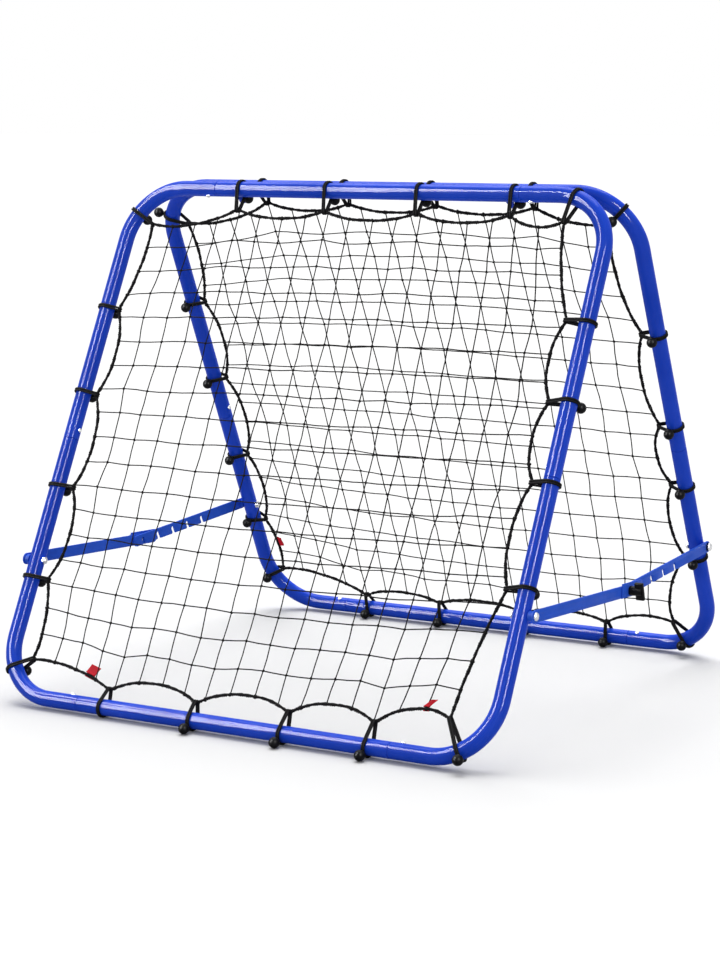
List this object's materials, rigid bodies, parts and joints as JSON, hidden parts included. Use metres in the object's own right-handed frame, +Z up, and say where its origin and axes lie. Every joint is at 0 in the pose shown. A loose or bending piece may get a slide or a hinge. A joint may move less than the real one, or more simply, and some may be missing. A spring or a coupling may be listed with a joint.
{
  "type": "football rebounder",
  "caption": "Folding A-frame football rebounder: two tube frames with nets on elastic loops, hinged at the top and set by notched side arms.",
  "frame": {"origin": "on the floor, midway between the front and rear edges and between the two sides", "axes": "+Z up, +X to the right of someone who faces the front net, +Y from the front frame to the rear frame"},
  "size_m": [1.1534, 1.0078, 0.958],
  "materials": {
    "tube_blue": "gloss",
    "arm_blue": "satin",
    "zinc_steel": "zinc plated",
    "cord_black": "braided",
    "twine_black": "twisted twine",
    "knob_black": "satin",
    "tag_red": "woven"
  },
  "bodies": {
    "front_frame": {"front_upper_left_tube": "tube_blue", "front_upper_right_tube": "tube_blue", "front_lower_left_tube": "tube_blue", "front_lower_right_tube": "tube_blue", "front_top_tube": "tube_blue", "front_bottom_tube": "tube_blue", "front_screw_top_left": "zinc_steel", "front_screw_top_right": "zinc_steel", "front_screw_leg_left": "zinc_steel", "front_screw_leg_right": "zinc_steel", "front_screw_bottom_left": "zinc_steel", "front_screw_bottom_right": "zinc_steel", "front_border_rope": "cord_black", "front_net": "twine_black", "front_pivot_bolt_left": "zinc_steel", "front_pivot_bolt_right": "zinc_steel", "front_pivot_nut_left": "zinc_steel", "front_pivot_nut_right": "zinc_steel", "front_spacer_left": "arm_blue", "front_spacer_right": "arm_blue", "tag_front_left": "tag_red", "tag_front_right": "tag_red", "hinge_bolt_left": "zinc_steel", "hinge_bolt_right": "zinc_steel", "hinge_nut_left": "zinc_steel", "hinge_nut_right": "zinc_steel"},
    "rear_frame": {"rear_upper_left_tube": "tube_blue", "rear_upper_right_tube": "tube_blue", "rear_lower_left_tube": "tube_blue", "rear_lower_right_tube": "tube_blue", "rear_top_tube": "tube_blue", "rear_bottom_tube": "tube_blue", "rear_screw_top_left": "zinc_steel", "rear_screw_top_right": "zinc_steel", "rear_screw_leg_left": "zinc_steel", "rear_screw_leg_right": "zinc_steel", "rear_screw_bottom_left": "zinc_steel", "rear_screw_bottom_right": "zinc_steel", "rear_border_rope": "cord_black", "rear_net": "twine_black", "rear_pivot_bolt_left": "zinc_steel", "rear_pivot_bolt_right": "zinc_steel", "rear_pivot_nut_left": "zinc_steel", "rear_pivot_nut_right": "zinc_steel", "rear_spacer_left": "arm_blue", "rear_spacer_right": "arm_blue", "tag_rear": "tag_red"},
    "front_arm_left_body": {"front_arm_left": "arm_blue", "guide_plate_left": "arm_blue", "knee_stud_left": "zinc_steel"},
    "front_arm_right_body": {"front_arm_right": "arm_blue", "guide_plate_right": "arm_blue", "knee_stud_right": "zinc_steel"},
    "rear_arm_left_body": {"rear_arm_left": "arm_blue"},
    "rear_arm_right_body": {"rear_arm_right": "arm_blue"},
    "wing_knob_left_body": {"wing_knob_left": "knob_black"},
    "wing_knob_right_body": {"wing_knob_right": "knob_black"}
  },
  "joints": [
    {"name": "fold", "type": "hinge", "parent": "front_frame", "child": "rear_frame", "pos_m": [0, 0.05714, 0.9211], "axis": [1, 0, 0], "range_deg": [-47, 0]},
    {"name": "front_arm_pivot_left", "type": "hinge", "parent": "front_frame", "child": "front_arm_left_body", "pos_m": [-0.54409, -0.34315, 0.25022], "axis": [1, 0, 0], "range_deg": [0, 66]},
    {"name": "front_arm_pivot_right", "type": "hinge", "parent": "front_frame", "child": "front_arm_right_body", "pos_m": [0.54409, -0.34315, 0.25022], "axis": [1, 0, 0], "range_deg": [0, 66]},
    {"name": "rear_arm_pivot_left", "type": "hinge", "parent": "rear_frame", "child": "rear_arm_left_body", "pos_m": [-0.54079, 0.3883, 0.24245], "axis": [1, 0, 0], "range_deg": [-52.6, 0]},
    {"name": "rear_arm_pivot_right", "type": "hinge", "parent": "rear_frame", "child": "rear_arm_right_body", "pos_m": [0.54079, 0.3883, 0.24245], "axis": [1, 0, 0], "range_deg": [-52.6, 0]},
    {"name": "knob_turn_left", "type": "hinge", "parent": "front_arm_left_body", "child": "wing_knob_left_body", "pos_m": [-0.54969, 0.0255, 0.22531], "axis": [-1, 0, 0], "range_deg": [0, 540]},
    {"name": "knob_turn_right", "type": "hinge", "parent": "front_arm_right_body", "child": "wing_knob_right_body", "pos_m": [0.54969, 0.0255, 0.22531], "axis": [1, 0, 0], "range_deg": [0, 540]}
  ],
  "couplings": [
    {"joint": "front_arm_pivot_left", "follows": "fold", "ratio": -1.4031},
    {"joint": "front_arm_pivot_right", "follows": "fold", "ratio": -1.4031},
    {"joint": "rear_arm_pivot_left", "follows": "fold", "ratio": 1.1179},
    {"joint": "rear_arm_pivot_right", "follows": "fold", "ratio": 1.1179}
  ]
}
